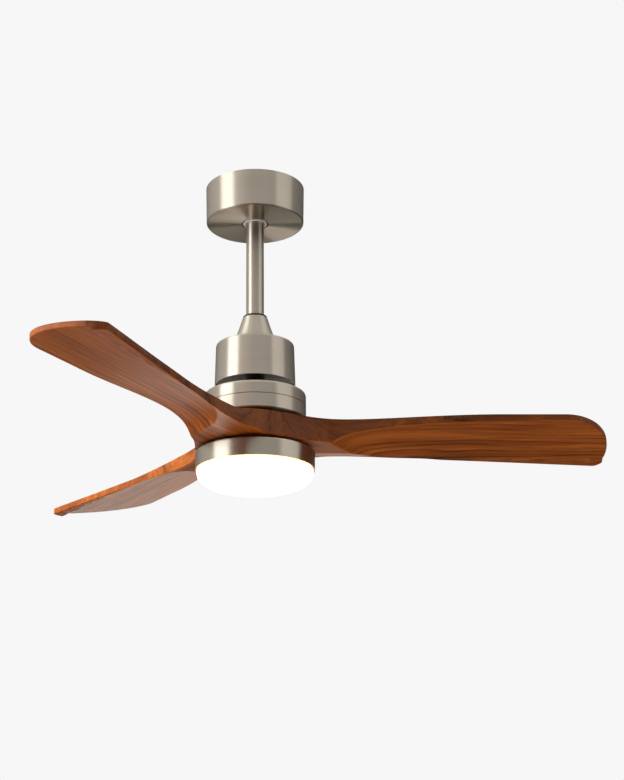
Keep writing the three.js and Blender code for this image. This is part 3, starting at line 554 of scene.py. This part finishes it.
def eased(count):
    """Values from 0 to 1 that crowd together at both ends."""
    return [(1 - math.cos(math.pi * i / count)) / 2 for i in range(count + 1)]


def plan_rows(rim, leading, trailing):
    """Rows of (x, c) points for one face of a blade, from the rim of the hub to the tip."""
    corner = sector_arc(rim)
    corner_x = corner(0)[0]

    def row(shape, ends):
        def point(t):
            c = lerp(trailing(ends["trailing"]), leading(ends["leading"]), t)
            x = ends["trailing"] if t == 0 else ends["leading"] if t == 1 else shape(c)
            return x, c
        return point

    crest, tip = row(crest_x, CREST), row(tip_x, TIP)
    hub_patch = patch(corner, crest, along(trailing, corner_x, CREST["trailing"]),
                      along(leading, corner_x, CREST["leading"]))
    blade_patch = patch(crest, tip, along(trailing, CREST["trailing"], TIP["trailing"]),
                        along(leading, CREST["leading"], TIP["leading"]))
    columns = eased(COLUMNS)
    rows = [[hub_patch(t, q) for t in columns] for q in eased(HUB_ROWS)]
    rows += [[blade_patch(t, q) for t in columns] for q in eased(BLADE_ROWS)[1:]]
    return rows


def edge_drop(distance):
    """How far a face sinks at a distance from a rounded edge."""
    if distance >= EDGE_ROUND:
        return 0
    return EDGE_ROUND - math.sqrt(EDGE_ROUND ** 2 - (EDGE_ROUND - distance) ** 2)


def shaped_face(rows, height, sign):
    """Gives each plan point its height, and rounds the face over along its free edges."""
    columns = eased(COLUMNS)
    end = rows[-1]
    face = []
    for i, row in enumerate(rows):
        line = []
        for j, (x, c) in enumerate(row):
            sides = min(math.dist((x, c), row[0]), math.dist((x, c), row[-1]))
            tip = math.dist((x, c), end[j])
            drop = edge_drop(min(sides, tip))
            line.append((x, -c, height(x, c, columns[j]) + sign * drop))
        face.append(line)
    return face


def blade(number, azimuth):
    """One carved blade: its third of the hub, the swept web and the pitched paddle."""
    columns = eased(COLUMNS)
    upper = shaped_face(plan_rows(HUB["rim_top"], PLAN["leading_top"], PLAN["trailing_top"]), top_height, -1)
    lower = shaped_face(plan_rows(HUB["rim_bottom"], PLAN["leading_bottom"], PLAN["trailing_bottom"]),
                        bottom_height, 1)

    def hub_row(radius, z):
        return [(x, -c, z) for x, c in map(sector_arc(radius), columns)]

    roof, recess = RECESS["roof"], RECESS["radius"]
    rows = [hub_row(HUB["bore"], HUB["top"]), *upper, *reversed(lower), hub_row(recess, HUB["bottom"]),
            hub_row(recess, roof), hub_row(HUB["bore"], roof)]
    # The rows close a loop round the blade: over the top to the tip, back below, and up inside the recess.
    width = COLUMNS + 1
    vertices = [point for row in rows for point in row]
    faces = []
    for i in range(len(rows)):
        a, b = i * width, (i + 1) % len(rows) * width
        faces += [(a + j, b + j, b + j + 1, a + j + 1) for j in range(COLUMNS)]
    count = len(upper)
    last_lower = 2 * count
    for side, flip in ((0, False), (COLUMNS, True)):
        for i in range(count - 1):
            up, low = 1 + i, last_lower - i
            corners = [k * width + side for k in (up, low, low - 1, up + 1)]
            faces.append(corners[::-1] if flip else corners)
        hub_rows = (1, 0, last_lower + 3, last_lower + 2, last_lower + 1, last_lower)
        hub_side = [k * width + side for k in hub_rows]
        faces.append(hub_side[::-1] if flip else hub_side)
    piece = new_piece(f"blade_{number}_carved", vertices, faces)
    grain = piece.data.attributes.new("grain", "FLOAT_VECTOR", "POINT")
    shift = Vector((0.9, 0.013, 0.004)) * number
    for value, point in zip(grain.data, vertices):
        value.vector = Vector(point) * MM + shift
    turn = math.radians(azimuth)
    for vertex in piece.data.vertices:
        x, y, z = vertex.co
        vertex.co = (x * math.cos(turn) - y * math.sin(turn), x * math.sin(turn) + y * math.cos(turn), z)
    piece.data.set_sharp_from_angle(angle=math.radians(42))
    return piece


# ---------------------------------------------------------------- light

def light_housing():
    top, bottom = LIGHT["top"], LIGHT["ring_bottom"]
    upper, lower, wall, shaft = LIGHT["radius_top"], LIGHT["radius_bottom"], 1.6, 8.8
    shoulder = spline([(upper - 3, top), (upper - 0.9, top - 0.7), (upper, top - 2.8)], 4)
    outline = [(shaft, top), *shoulder, (lower, bottom), (lower - wall, bottom), (upper - wall, top - 3),
               (upper - 2.8, top - 1.7), (shaft, top - 1.7)]
    return turned("light_housing_turned", rounded(outline, 0.35), 200)


def dome_arc(radius, bottom, count):
    """A quarter of a squared circle, from the axis out to the rim."""
    power = 2 / DOME["squareness"]
    arc = []
    for angle in steps(0, math.pi / 2, count):
        across = max(math.sin(angle), 0) ** power
        down = max(math.cos(angle), 0) ** power
        arc.append((radius * across, lerp(DOME["rim"], bottom, down)))
    return arc


def diffuser():
    rim, collar, lug_top = LIGHT["ring_bottom"] - 0.5, 81.8, -437.5
    dome = dome_arc(DOME["radius"], LIGHT["bottom"], 36)
    lip = [(DOME["radius"], rim), (collar, rim), (collar, lug_top), (DOME["inner_radius"], lug_top)]
    inside = dome_arc(DOME["inner_radius"], LIGHT["bottom"] + DOME["wall"], 24)
    return turned("diffuser_turned", [*dome, *lip, *reversed(inside)], 200)


# ---------------------------------------------------------------- assembly

stand_in(canopy(), "canopy", "canopy", "brushed_nickel")
stand_in(hanger_ball(), "hanger_ball", "fan_frame", "white_nylon")
stand_in(downrod(), "downrod", "fan_frame", "brushed_nickel")
stand_in(coupling_cover(), "coupling_cover", "fan_frame", "brushed_nickel")
stand_in(cover_grommet(), "cover_grommet", "fan_frame", "cable_rubber")
stand_in(motor_cover(), "motor_cover", "fan_frame", "brushed_nickel")
stand_in(rotor_upper_shell(), "rotor_upper_shell", "rotor", "brushed_nickel")
stand_in(rotor_lower_shell(), "rotor_lower_shell", "rotor", "brushed_nickel")
# Black here is painted shade for the shadowed recess under the rotor.
stand_in(blade_mount_ring(), "blade_mount_ring", "rotor", "black_plastic")
for number in (1, 2, 3):
    stand_in(blade(number, -120 * (number - 1)), f"blade_{number}", "rotor", "walnut")
stand_in(light_housing(), "light_housing", "fan_frame", "brushed_nickel")
stand_in(diffuser(), "diffuser", "diffuser", "opal_plastic")


# ---------------------------------------------------------------- floor, light and camera

FLOOR_Z = -3.2
FLOOR_SHED, FLOOR_SEEN = 0.2, 0.7    # brightness of the floor as a light, and to the camera
BACKDROP = 0.93                      # brightness of the empty studio
CAMERA = {"distance": 2.2734, "height": -1.0803, "pitch": 18.388, "lens": 74.81, "shift": 0.073}


def studio_floor():
    """A pale floor that lights the fan from below, and that shiny surfaces don't mirror."""
    mesh = bpy.data.meshes.new("studio_floor")
    reach = 60
    mesh.from_pydata([(-reach, -reach, FLOOR_Z), (reach, -reach, FLOOR_Z), (reach, reach, FLOOR_Z),
                      (-reach, reach, FLOOR_Z)], [], [(0, 1, 2, 3)])
    floor = bpy.data.objects.new("studio_floor", mesh)
    bpy.context.scene.collection.objects.link(floor)
    floor.visible_glossy = False
    look = Look("studio_floor", (0.5, 0.5, 0.5), Roughness=0.9)
    look.use("Emission Color", (1, 0.99, 0.97, 1))
    seen = look.node("LightPath").outputs["Is Camera Ray"]
    look.use("Emission Strength", look.spread(seen, FLOOR_SHED, FLOOR_SEEN, 0, 1))
    mesh.materials.append(look.material)


def studio_world():
    """An evenly bright studio to the camera. As a light it is brighter above the fan than below it, brighter
    on the camera's side than behind, and lifted on the left."""
    world = bpy.data.worlds.new("studio")
    bpy.context.scene.world = world
    world.use_nodes = True
    nodes, links = world.node_tree.nodes, world.node_tree.links

    def faded(value, low, high, start, end):
        made = nodes.new("ShaderNodeMapRange")
        links.new(value, made.inputs["Value"])
        for socket, number in (("From Min", start), ("From Max", end), ("To Min", low), ("To Max", high)):
            made.inputs[socket].default_value = number
        return made.outputs[0]

    def joined(operation, first, second):
        made = nodes.new("ShaderNodeMath")
        made.operation = operation
        links.new(first, made.inputs[0])
        links.new(second, made.inputs[1])
        return made.outputs[0]

    direction = nodes.new("ShaderNodeTexCoord")
    split = nodes.new("ShaderNodeSeparateXYZ")
    links.new(direction.outputs["Generated"], split.inputs[0])
    x, y, z = split.outputs
    level = joined("MULTIPLY", faded(y, 0.56, 0.2, -0.8, 0.9), faded(z, 0.12, 1.8, 0.12, 0.5))
    level = joined("ADD", level, faded(x, 0.34, 0, -0.85, -0.15))
    path = nodes.new("ShaderNodeLightPath")
    level = joined("MULTIPLY", level, faded(path.outputs["Is Diffuse Ray"], 1, 0.25, 0, 1))
    seen = nodes.new("ShaderNodeMix")
    links.new(path.outputs["Is Camera Ray"], seen.inputs[0])
    links.new(level, seen.inputs[2])
    seen.inputs[3].default_value = BACKDROP
    links.new(seen.outputs[0], nodes["Background"].inputs["Strength"])
    nodes["Background"].inputs["Color"].default_value = (1, 1, 1, 1)


def softbox(name, azimuth, elevation, distance, size, brightness, tint=(1, 1, 1), mirrored=True,
            spread=True):
    """An area light that faces the fan. Azimuth 0 is the camera's side, and positive is to the right."""
    centre = Vector((0, 0, -0.3))
    a, e = math.radians(azimuth), math.radians(elevation)
    away = Vector((math.sin(a) * math.cos(e), -math.cos(a) * math.cos(e), math.sin(e)))
    data = bpy.data.lights.new(name, "AREA")
    data.shape = "RECTANGLE"
    data.size, data.size_y = size
    data.energy = brightness * math.pi * size[0] * size[1]
    data.color = tint
    light = bpy.data.objects.new(name, data)
    light.location = centre + away * distance
    light.rotation_euler = away.to_track_quat("Z", "Y").to_euler()
    light.visible_camera = False
    light.visible_glossy = mirrored
    light.visible_diffuse = spread
    bpy.context.scene.collection.objects.link(light)


def camera():
    """Stands below the fan and looks up at it, as a long lens a little over two metres off."""
    data = bpy.data.cameras.new("camera")
    data.sensor_width = 36
    data.lens = CAMERA["lens"]
    data.shift_x = CAMERA["shift"]
    view = bpy.data.objects.new("camera", data)
    view.location = (0, -CAMERA["distance"], CAMERA["height"])
    view.rotation_euler = (math.radians(90 + CAMERA["pitch"]), 0, 0)
    bpy.context.scene.collection.objects.link(view)
    bpy.context.scene.camera = view


studio_floor()
studio_world()
softbox("left_softbox", -66, -8, 2.4, (1.5, 3.4), 2.1, (0.94, 1, 1.08), spread=False)
softbox("right_softbox", 70, -4, 2.6, (2.0, 3.4), 0.5, spread=False)
softbox("left_wash", -90, 12, 2.2, (0.8, 1.2), 30, (1, 0.94, 0.86), mirrored=False)
softbox("low_wash", 20, -84, 2.2, (2, 2), 1.6, (1, 0.92, 0.82), mirrored=False)
softbox("back_strip", 180, -7, 2.4, (1.1, 0.3), 3, (1, 0.94, 0.84), spread=False)
softbox("low_spark", 196, -34, 2.4, (0.16, 0.5), 5, spread=False)
camera()
bpy.context.scene.view_settings.view_transform = "Standard"
